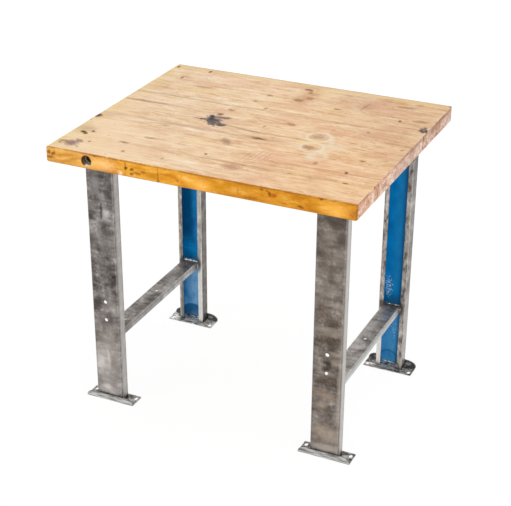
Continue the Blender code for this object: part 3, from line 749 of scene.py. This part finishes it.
def leg_steel(row, side):
    """Bare scoured sheet outside, old blue paint left inside the channel."""
    leg = f"{row}_{side}"
    graph = Surface(f"scoured_leg_{leg}")
    u, depth = leg_place(graph, row, side)
    w = graph.z
    tint, lightened = LEG_TINT_AND_LIGHT[leg]
    seed = 3 + SIGN[side] * 1.7 + SIGN[row] * 5.3
    tone, brush, speck = scoured(graph, u, depth, w, seed, 0.75 if leg == "front_right" else 1)
    # Darker towards the top: painted shade under the bench top
    tone = tone - w.rise(UNDER_Z - 190, UNDER_Z, 0.1)
    steel = graph.tones(tone, STEEL_TONES)
    if leg in LEG_MARKS:
        on_web = graph.stain(steel, graph.sway((u, w), seed, 24, 6), LEG_MARKS[leg], speck.swing(1.8))
        mottle = graph.tones(tone, [(25, 140, 138, 137), (75, 226, 226, 226)])
        steel = steel.coat(depth.rise(2, 0.6), on_web.coat(0.35, mottle, "OVERLAY"))
    inset = LEG_HALF - abs(u)
    lip_depth = LEG_DEPTH - depth
    on_flange = inset.rise(2, 0.8) * depth.rise(4, 6)
    on_lip = lip_depth.rise(2, 0.8)
    # Dark bands along the flanges and lips beside the bends: painted shade
    bend_shade = abs(depth - 8.5).rise(2.6, 0.8, 0.45) + abs(lip_depth - 7).rise(2.2, 0.8, 0.35)
    scab = graph.noise((u * 0.11, depth * 0.11, w * 0.04 + seed * 3), 4, 0.65)
    steel = steel.coats(
        (1, tint, "MULTIPLY"),
        # Paler bends: rubbed bare steel with a painted highlight
        (graph.hypot(inset, lip_depth).rise(4.4, 1.8, 0.4), BARE_AND_SHEEN),
        (graph.hypot(inset, depth).rise(4.6, 2, 0.22), (172, 168, 164)),
        # Side flanges lightened: rubbed steel with painted light
        (on_flange * lightened, (206, 202, 197)),
        (on_flange * bend_shade, (84, 80, 77)),
        (on_lip * 0.42, (206, 198, 188)),
        (on_lip * scab.rise(0.51, 0.62, 0.55 if leg == "rear_left" else 0.85), (92, 74, 62)),
        (on_lip * scab.rise(0.44, 0.36, 0.5), (232, 226, 216)),
    )
    if row == "rear":
        over = w - CHANNEL_TOP_Z
        low = over.rise(110, -50)
        if side == "right":
            clean = u.rise(0, -10) * over.rise(-10, -70, 0.66)
            steel = steel.coats(
                # Darker right lip: painted shade
                (on_lip * u.rise(0, 10, 0.18), (58, 70, 80)),
                (on_lip * clean, (234, 233, 229)),
                (on_flange * low * 0.34, (212, 212, 210)),
            )
        else:
            pale = u.rise(0, 10) * (0.18 + low * 0.42)
            shaded = inset.rise(4, 12) * u.rise(0, -10) * (0.24 + low * 0.46)
            steel = steel.coats(
                (on_lip * pale, (226, 230, 230)),
                (on_lip * shaded, (88, 94, 92)),
                # Darker left flange: painted shade
                (on_flange * 0.3, (92, 86, 80)),
            )
        # Lips and flanges darker near the top: painted shadow of the bench top
        top_shadow = w.rise(UNDER_Z - 190, UNDER_Z - 30, 0.6)
        steel = steel.coat(on_lip.most(on_flange) * top_shadow, (66, 64, 62))
    joint = (LEG_HALF - CHANNEL_HALF, CHANNEL_Z)
    heat = graph.reach((inset, w), joint, (13, 26)).rise(1.3, 0.6, 0.75)
    steel = steel.coats(
        (heat * lip_depth.rise(12, 3), BURNT),
        (w.rise(20, 8, 0.6), BURNT),
        (on_flange * (w + speck.swing(14)).rise(24, 10, 0.85), (40, 36, 34)),
    )

    inside = inset.rise(SHEET * 0.5, SHEET * 0.65) * depth.rise(SHEET * 0.5, SHEET * 0.65)
    inside = inside * lip_depth.rise(SHEET * 0.85, SHEET * 0.97)
    colour = steel.coat(inside, blue_paint(graph, u, w, side == "left", seed))
    rough = 0.46 - tone.swing(0.3) - inside * 0.1
    return graph.finish(colour, rough, 1 - inside, brush + tone * 0.6, relief=0.1, specular=0.12)


def blue_paint(graph, u, w, left, seed):
    """Old gloss enamel, dusty below the stretcher, darker round the stretcher's joint, with painted shade by
    the lips, and chipped to pale primer by the weld.
    """
    over = w - CHANNEL_TOP_Z
    mottle = graph.noise((u * 0.04, w * 0.02, seed), 3, 0.6)
    paint = graph.tones(mottle, [(25, 0, 108, 172), (75, 6, 142, 206)])
    plane = graph.sway((u, w), seed + 4, 14, 5)
    dusty = over.rise(5, -45, 0.72)
    worn = graph.reach(plane, (-25, CHANNEL_TOP_Z + 44), (22, 62)).rise(1.2, 0.2, 0.08 if left else 0.24)
    if left:
        dusty = dusty * (0.7 + u.rise(-42, 2, 0.6))
        # Painted shade of the left lip over the web's left part, above the stretcher
        painted_shade = (u + mottle.swing(20)).rise(8, -16, 0.72) * over.rise(20, 90)
        arc = graph.reach((u, w), (-10, 16), (44, 34)).rise(1.08, 0.98, 0.85)
        by_side = [(arc * (0.42 + (w - u * 0.5).rise(0, 36, 0.58)), (0, 88, 138))]
    else:
        # Painted shade along the right lip and flange
        painted_shade = (u + mottle.swing(12)).rise(1, 17, 0.6)
        arc = graph.reach((u, w), (-14, 16), (29, 30))
        # By the right lip a darker strip of painted shade, then a faint ring
        by_side = [(u.rise(18, 25, 0.6), (0, 34, 64)), (abs(arc - 1).rise(0.16, 0.05, 0.5), (8, 84, 146))]
        lower = graph.reach(plane, (0, CHANNEL_TOP_Z - 100), (26, 66))
        worn = worn.most(lower.rise(1.2, 0.2, 0.15))
    grit = graph.noise((u * 0.22, w * 0.16, seed + 9), 3, 0.7)
    return paint.coats(
        (dusty * mottle.rise(0.2, 0.6), (126, 176, 212) if left else (84, 162, 212)),
        (painted_shade, (0, 58, 104)),
        *by_side,
        (abs(over).rise(26, 4, 0.25 if left else 0.4), (10, 34, 58)),
        ((grit + worn).rise(0.72, 0.77, 0.85), (176, 222, 250)),
    )


def channel_steel(kind, side):
    """The punched channels: brushed along y, burnt dark at both welded ends."""
    graph = Surface(f"scoured_{kind}_{side}")
    left = side == "left"
    u = graph.x - SIGN[side] * LEG_X
    below = CHANNEL_TOPS[kind] - graph.z
    tone, brush, _ = scoured(graph, u, below, graph.y * 0.8, 11 + SIGN[side] * 3)
    fold = graph.reach((CHANNEL_HALF - abs(u), below), (1.2, 1.2), (3, 3))
    from_end = CHANNEL_END_Y - abs(graph.y) + tone.swing(40)
    heated = from_end.rise(62, 18, 0.45)
    scorched = from_end.rise(26, 8, 0.55 if left else 0.85)
    steel = graph.tones(tone + (0.08 if left else 0.19), STEEL_TONES).coats(
        (below.rise(3, 6, 0.3 if left else 0.66), (202, 206, 208)),
        # A dark line below the fold and the pale fold itself: painted reflection of the bend, over rubbed bare
        # steel
        (abs(below - 7.5).rise(3.2, 1, 0.5) * tone.rise(0.3, 0.55), (82, 82, 82)),
        (fold.rise(1.2, 0.5, 0.5), BARE_AND_SHEEN),
        (heated, (96, 82, 74)),
        (scorched, (90, 85, 79) if left else (56, 51, 46)),
    )
    metal = 1 - scorched.most(heated * 1.6) * 0.9
    return graph.finish(steel, 0.47 - tone.swing(0.3), metal, brush + tone * 0.6, relief=0.1)


def foot_steel(row, side):
    """Scuffed plate: mottled outside, darker inside the upstand with a painted highlight there, spattered where
    it was welded.
    """
    graph = Surface(f"dark_foot_{row}_{side}")
    left, rear = side == "left", row == "rear"
    u, depth = leg_place(graph, row, side)
    z = graph.z
    up = z - FOOT_PLATE
    past = abs(u) - LEG_HALF
    seed = 21 + SIGN[side] + SIGN[row] * 2
    tone, brush, speck = scoured(graph, u * 1.6, depth * 1.6, z * 1.6, seed)
    spatter = graph.noise((u * 0.06, depth * 0.1, z * 0.1 + seed), 3, 0.65)
    scale = graph.tones(spatter + (0.07 if rear and left else 0.01), SCALE_TONES)
    flat = up.rise(-0.8, -0.2) * up.rise(1.2, 0.4)
    steel = graph.tones(tone + speck.swing(0.4) + 0.08, STEEL_TONES)
    steel = steel.coat(flat * (0.9 if rear else 0.45), scale)
    if rear:
        # Rear plates darker beyond the leg's side and in front of its lips
        darkened_side = (u + spatter.swing(30)).rise(LEG_HALF - 4, LEG_HALF + 8, 0.25 if left else 0.62)
        brow = depth.rise(LEG_DEPTH + 1, LEG_DEPTH + 6, 0.1 if left else 0.5)
        steel = steel.coat(flat * darkened_side.most(brow), (58, 57, 56))
    streaks = graph.noise((u * 0.022, depth * 0.2, z * 0.22 + seed), 3, 0.6)
    smear = graph.noise((u * 0.03, depth * 0.05, z * 0.1 + seed * 1.7), 3, 0.6)
    # The upstand's inner face and the plate near it are darker; the paler patch on that face is a painted
    # highlight
    darkened_inner = depth.rise(-2.6, -1, 0.9) * up.rise(0.6, 2)
    under = (depth + spatter.swing(16)).rise(15, 5, 0.8) * past.rise(-2, 4)
    gleam = graph.reach((past, up), (10, 7), (11, 7))
    gleam = (gleam + spatter.swing(1.6)).rise(1.15, 0.55, 0.75) * darkened_inner
    toe = (z + spatter.swing(6)).rise(FOOT_TOP_Z - 3.2, FOOT_TOP_Z - 0.8, 0.75) * abs(u).rise(52, 44)
    dull = flat * past.rise(14, -2) * depth.rise(0, 2)
    steel = steel.coats(
        (depth.rise(-2, -3.5, 0.75), graph.tones(streaks, STREAK_TONES)),
        (depth.rise(-2, -3.5) * smear.rise(0.52, 0.64, 0.48 if left else 0.24), (88, 82, 77)),
        (darkened_inner.most(under * flat), (84, 87, 90)),
        (gleam, (176, 177, 174)),
        (toe, (58, 54, 52)),
        # Bright rims on the edges: wear with a painted highlight
        (graph.edges(1.4) * 0.7, (212, 210, 206)),
        (dull, (232, 232, 230), "MULTIPLY"),
    )
    rough = 0.45 - tone.swing(0.25) + dull * 0.2
    return graph.finish(steel, rough, 1 - dull * 0.7 - gleam * 0.9, brush + tone + spatter, relief=0.2)


def weld_metal(name, stops):
    """Rippled bead: dark scale with bright crests."""
    graph = Surface(name)
    grain = graph.noise(graph.place(0.11), 3, 0.65)
    speck = graph.noise(graph.place(1))
    return graph.finish(graph.tones(grain, stops), 0.36 + grain * 0.3, 0.6, speck, relief=0.25)


def zinc():
    """Dull zinc plating with a little white bloom."""
    graph = Surface("zinc_fastener")
    bloom = graph.noise(graph.place(0.4), 3, 0.6)
    colour = graph.tones(bloom, [(30, 150, 150, 148), (70, 206, 206, 202)])
    return graph.finish(colour, 0.3 + bloom * 0.25, 1, bloom, relief=0.05)


def plug_steel():
    """Dark oily steel disc, paler in the middle."""
    graph = Surface("dark_plug")
    x, y = graph.x, graph.y
    away = graph.reach((x, y), (PLUG_X, PLUG_Y), (PLUG_RADIUS, PLUG_RADIUS))
    cloud = graph.noise((x * 0.18, y * 0.18, 1), 3, 0.6)
    scratch = graph.noise((x * 0.3, y * 4, 2))
    lightened = (away + cloud.swing(0.8)).rise(0.95, 0.25)
    pale = graph.tones(scratch, [(30, 96, 91, 84), (70, 150, 145, 136)])
    return graph.finish(graph.blend((62, 58, 54), lightened, pale), 0.5 + scratch * 0.2, 0.6, scratch, relief=0.05)


# Pieces: angles, a distance in metres, and edge widths in millimetres
FLAT_ANGLE = radians(0.4)
SHARP_ANGLE = radians(40)
SMOOTH_ANGLE = radians(32)
WELD_DISTANCE = 1e-5
BEVEL_STEPS = 2
NAIL_SIDES = 12
SHEET_EDGE = 0.4
PLATE_EDGE = 0.7
SCREW_EDGE = 0.3
DISC_EDGE = 0.2


def add_object(name, data):
    made = bpy.data.objects.new(name, data)
    bpy.context.scene.collection.objects.link(made)
    return made


def mesh_of(bm, name):
    mesh = bpy.data.meshes.new(name)
    bm.to_mesh(mesh)
    bm.free()
    return mesh


def solid_of(node):
    """The node's own mesh as an editable solid with shared corners and whole flat faces."""
    bm = bmesh.new()
    bm.from_mesh(nodes[node].data)
    bmesh.ops.remove_doubles(bm, verts=bm.verts, dist=WELD_DISTANCE)
    bmesh.ops.dissolve_limit(bm, angle_limit=FLAT_ANGLE, verts=bm.verts, edges=bm.edges)
    return bm


def stand_for(node, bm, material):
    """A finished piece in place of a node, with the node's name and a suffix."""
    mesh = mesh_of(bm, f"{node}_worn")
    mesh.materials.append(material)
    mesh.shade_smooth()
    mesh.set_sharp_from_angle(angle=SMOOTH_ANGLE)
    piece = add_object(mesh.name, mesh)
    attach(piece, "root")
    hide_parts(node)
    return piece


def true_flats(piece):
    """Keep large faces flat to the light where they meet rounded edges."""
    piece.modifiers.new("true_flats", "WEIGHTED_NORMAL").keep_sharp = True


def break_edges(bm, width):
    """Round every sharp edge a little, as filing and handling do."""
    sharp = [e for e in bm.edges if e.is_manifold and e.calc_face_angle(0) > SHARP_ANGLE]
    bmesh.ops.bevel(
        bm, geom=sharp, offset=width * MM, segments=BEVEL_STEPS, profile=0.5, affect="EDGES", clamp_overlap=True
    )


def dress_steel(node, material, edge):
    bm = solid_of(node)
    break_edges(bm, edge)
    true_flats(stand_for(node, bm, material))


def dress_stave(number, node):
    """Close the glue joints, and open the nail holes."""
    low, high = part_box(node)
    bm = solid_of(node)
    for vert in bm.verts:
        if number > 1 and abs(vert.co.y - low.y) < WELD_DISTANCE:
            vert.co.y -= STAVE_GAP / 2 * MM
        if number < len(STAVES) and abs(vert.co.y - high.y) < WELD_DISTANCE:
            vert.co.y += STAVE_GAP / 2 * MM
    piece = stand_for(node, bm, maple(number, low.y / MM, high.y / MM))
    for u, v, diameter in NAIL_HOLES:
        if low.y < v * MM < high.y:
            drive_nail_hole(piece, u, v, diameter)
    true_flats(piece)


def drive_nail_hole(piece, u, v, diameter):
    """A blind, tapered hole left by a pulled nail."""
    bm = bmesh.new()
    bmesh.ops.create_cone(
        bm, cap_ends=True, segments=NAIL_SIDES, radius1=diameter * 0.3 * MM, radius2=diameter * 0.5 * MM,
        depth=2 * NAIL_DEPTH * MM
    )
    bmesh.ops.translate(bm, verts=bm.verts, vec=(u * MM, v * MM, TOP_Z * MM))
    nail = add_object("nail", mesh_of(bm, "nail"))
    cut = piece.modifiers.new("nail_hole", "BOOLEAN")
    cut.operation = "DIFFERENCE"
    cut.object = nail
    cut.solver = "EXACT"
    depsgraph = bpy.context.evaluated_depsgraph_get()
    drilled = bpy.data.meshes.new_from_object(piece.evaluated_get(depsgraph))
    piece.modifiers.clear()
    piece.data.clear_geometry()
    piece.data = drilled
    bpy.data.objects.remove(nail, do_unlink=True)


def dress_bench():
    for number, node in enumerate(STAVES, start=1):
        dress_stave(number, node)
    dress_steel("flush_steel_plug", plug_steel(), DISC_EDGE)
    fastener = zinc()
    for side in ("left", "right"):
        for row in ("front", "rear"):
            dress_steel(f"leg_{row}_{side}", leg_steel(row, side), SHEET_EDGE)
            dress_steel(f"foot_{row}_{side}", foot_steel(row, side), PLATE_EDGE)
        for kind in CHANNEL_TOPS:
            dress_steel(f"{kind}_{side}", channel_steel(kind, side), SHEET_EDGE)
        for spot in ("front", "middle", "rear"):
            dress_steel(f"lag_screw_{side}_{spot}", fastener, SCREW_EDGE)
            dress_steel(f"lag_washer_{side}_{spot}", fastener, DISC_EDGE)


# Weld beads, in millimetres
RIPPLE_PITCH = 3.2
BEAD_STEP = 0.8
LUMPS = 6
TOE_HALF = 40
TOE_BEAD = 1.7
SEAM_HALF = 37
SEAM_BEAD = 3.1
FLANGE_BEAD = 2.4
WEB_BEAD = 3
HEAVY_BEAD = 5
SIDE_BEAD = 1.9


def weld(name, runs, material):
    """Runs of weld as rippled, tapered tubes; each run is (start, end, radius) in millimetres."""
    draw = random.Random(name)
    curve = bpy.data.curves.new(name, "CURVE")
    curve.dimensions = "3D"
    curve.bevel_depth = MM
    curve.bevel_resolution = 3
    curve.use_fill_caps = True
    curve.materials.append(material)
    for start, end, radius in runs:
        start = Vector(start)
        reach = Vector(end) - start
        count = max(6, round(reach.length / BEAD_STEP))
        spline = curve.splines.new("POLY")
        spline.points.add(count)
        shift = Vector((draw.uniform(0, 90), draw.uniform(0, 90), 0))
        for step, point in enumerate(spline.points):
            share = step / count
            run = share * reach.length
            taper = min(1, 0.35 + sin(pi * share) * 2.2)
            ripple = 0.86 + 0.22 * abs(sin(pi * run / RIPPLE_PITCH))
            lump = 1 + 0.3 * noise.noise(shift + Vector((run / 9, 0, 0)))
            sway = Vector([0.5 * noise.noise(shift + Vector((run / 7, 7 + k, 0))) for k in range(3)])
            point.co = (*((start + reach * share + sway) * MM), 1)
            point.radius = radius * taper * ripple * lump
    piece = add_object(name, curve)
    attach(piece, "root")


def weld_foot(row, side, plain, dark_weld):
    """The bead along the upstand's toe, and the seam, spatter and side runs on the base plate."""
    centre = SIGN[side] * LEG_X
    facing = SIGN[row]
    face = facing * LEG_FACE_Y
    inner = face - facing * SHEET
    toe = FOOT_TOP_Z + 0.3
    runs = [((centre - TOE_HALF, face, toe), (centre + TOE_HALF, face, toe), TOE_BEAD)]
    weld(f"weld_toe_{row}_{side}", runs, dark_weld)
    seam = (inner - facing, FOOT_PLATE + 1)
    runs = [((centre - SEAM_HALF, *seam), (centre + SEAM_HALF, *seam), SEAM_BEAD)]
    draw = random.Random(f"{row}_{side}")
    for lump in range(LUMPS):
        along = centre + (lump / (LUMPS - 1) - 0.5) * 2 * (LEG_HALF - 14) + draw.uniform(-4, 4)
        into = inner - facing * draw.uniform(9, LEG_DEPTH - 8)
        tip = (along + draw.uniform(5, 12), into + draw.uniform(-5, 5), FOOT_PLATE - 0.2)
        runs.append(((along, into, FOOT_PLATE - 0.2), tip, draw.uniform(1.8, 2.6)))
    for edge in (-1, 1):
        flange = centre + edge * (LEG_HALF + 0.4)
        end = (flange, face - facing * (LEG_DEPTH - 4), FOOT_PLATE)
        runs.append(((flange, face - facing * 3, FOOT_PLATE), end, FLANGE_BEAD))
    weld(f"weld_foot_{row}_{side}", runs, plain if row == "rear" else dark_weld)


def weld_channel(kind, row, side, plain, pale):
    """The beads across a channel's web and down its sides where it meets the leg."""
    centre = SIGN[side] * LEG_X
    facing = SIGN[row]
    top = CHANNEL_TOPS[kind]
    heavy = (kind, side) == ("lower_stretcher", "left")
    web = (facing * CHANNEL_END_Y, top - (0.6 if kind == "lower_stretcher" else SHEET))
    half = CHANNEL_HALF - 2
    runs = [((centre - half, *web), (centre + half, *web), HEAVY_BEAD if heavy else WEB_BEAD)]
    lip = facing * (LEG_FACE_Y - LEG_DEPTH - 0.6)
    for edge in (-1, 1):
        flange = centre + edge * (CHANNEL_HALF + 0.1)
        runs.append(((flange, lip, top - 5), (flange, lip, top - 25), SIDE_BEAD))
    weld(f"weld_{kind}_{row}_{side}", runs, pale if heavy else plain)


def weld_bench():
    plain = weld_metal("weld_bead", [(38, 34, 32, 32), (50, 116, 116, 116), (62, 226, 229, 230)])
    pale = weld_metal("pale_bead", [(34, 64, 80, 90), (50, 158, 176, 184), (66, 222, 232, 236)])
    # A darker bead for the toes of the feet and the seams inside the front legs
    dark_weld = weld_metal("dark_bead", [(35, 34, 31, 30), (65, 104, 100, 97)])
    for side in ("left", "right"):
        for row in ("front", "rear"):
            weld_foot(row, side, plain, dark_weld)
            for kind in CHANNEL_TOPS:
                weld_channel(kind, row, side, plain, pale)


# Stage

def backdrop_rays(graph):
    """1 for the rays that show the backdrop."""
    camera, glossy, through = [
        graph.field("LightPath", output=f"Is {kind} Ray") for kind in ("Camera", "Glossy", "Transmission")
    ]
    return camera.most(glossy).most(through)


def lay_floor():
    """A pale floor: white to the eye with a faint shadow, and see-through from below."""
    bm = bmesh.new()
    bmesh.ops.create_circle(bm, cap_ends=True, segments=FLOOR_SIDES, radius=FLOOR_RADIUS)
    floor = add_object("floor", mesh_of(bm, "floor"))
    floor.location.z = -FLOOR_DROP
    material = bpy.data.materials.new("pale_floor")
    floor.data.materials.append(material)
    graph = Graph(material)
    matte = graph.field("BsdfDiffuse", {"Color": FLOOR_COLOUR})
    white = graph.field("Emission", {"Strength": FLOOR_GLOW})
    clear = graph.field("BsdfTransparent")
    away = graph.vector_math("LENGTH", {0: graph.field("TexCoord", output="Object")})
    shadow = away.rise(FLOOR_SHADOW_END, FLOOR_SHADOW_FULL, FLOOR_SHADOW_SHARE)
    shown = graph.mix_shaders(shadow, white, matte)
    seen = graph.mix_shaders(backdrop_rays(graph), matte, shown)
    below = graph.field("NewGeometry", output="Backfacing")
    graph.node("OutputMaterial", {"Surface": graph.mix_shaders(below, seen, clear)})


def light_stage():
    """Soft lamps round the front and overhead, in a world that shows white."""
    world = bpy.data.worlds.new("studio")
    bpy.context.scene.world = world
    graph = Graph(world)
    soft = graph.field("Background", {"Color": WHITE, "Strength": AMBIENT})
    white = graph.field("Background", {"Color": WHITE})
    graph.node("OutputWorld", {"Surface": graph.mix_shaders(backdrop_rays(graph), soft, white)})
    for name, (place, size, power) in LAMPS.items():
        lamp = bpy.data.lights.new(name, "AREA")
        lamp.shape = "SQUARE"
        lamp.size = size
        lamp.energy = power
        stand = add_object(name, lamp)
        stand.location = place
        stand.rotation_euler = (LAMP_AIM - Vector(place)).to_track_quat("-Z", "Y").to_euler()


def set_camera():
    """The photograph's view: place, direction, focal length and the offset of its frame."""
    lens = bpy.data.cameras.new("camera")
    lens.sensor_width = SENSOR_WIDTH
    lens.lens = FOCAL_PIXELS / FRAME_WIDTH * SENSOR_WIDTH
    lens.shift_x = (FRAME_WIDTH / 2 - PRINCIPAL_POINT[0]) / FRAME_WIDTH
    lens.shift_y = (PRINCIPAL_POINT[1] - FRAME_HEIGHT / 2) / FRAME_WIDTH
    pose = Matrix.Translation(CAMERA_PLACE)
    for degrees, axis in ((CAMERA_AZIMUTH, "Z"), (90 - CAMERA_ELEVATION, "X"), (CAMERA_ROLL, "Z")):
        pose = pose @ Matrix.Rotation(radians(degrees), 4, axis)
    camera = add_object("camera", lens)
    camera.matrix_world = pose
    bpy.context.scene.camera = camera


dress_bench()
weld_bench()
lay_floor()
light_stage()
set_camera()
bpy.context.scene.view_settings.view_transform = "Standard"
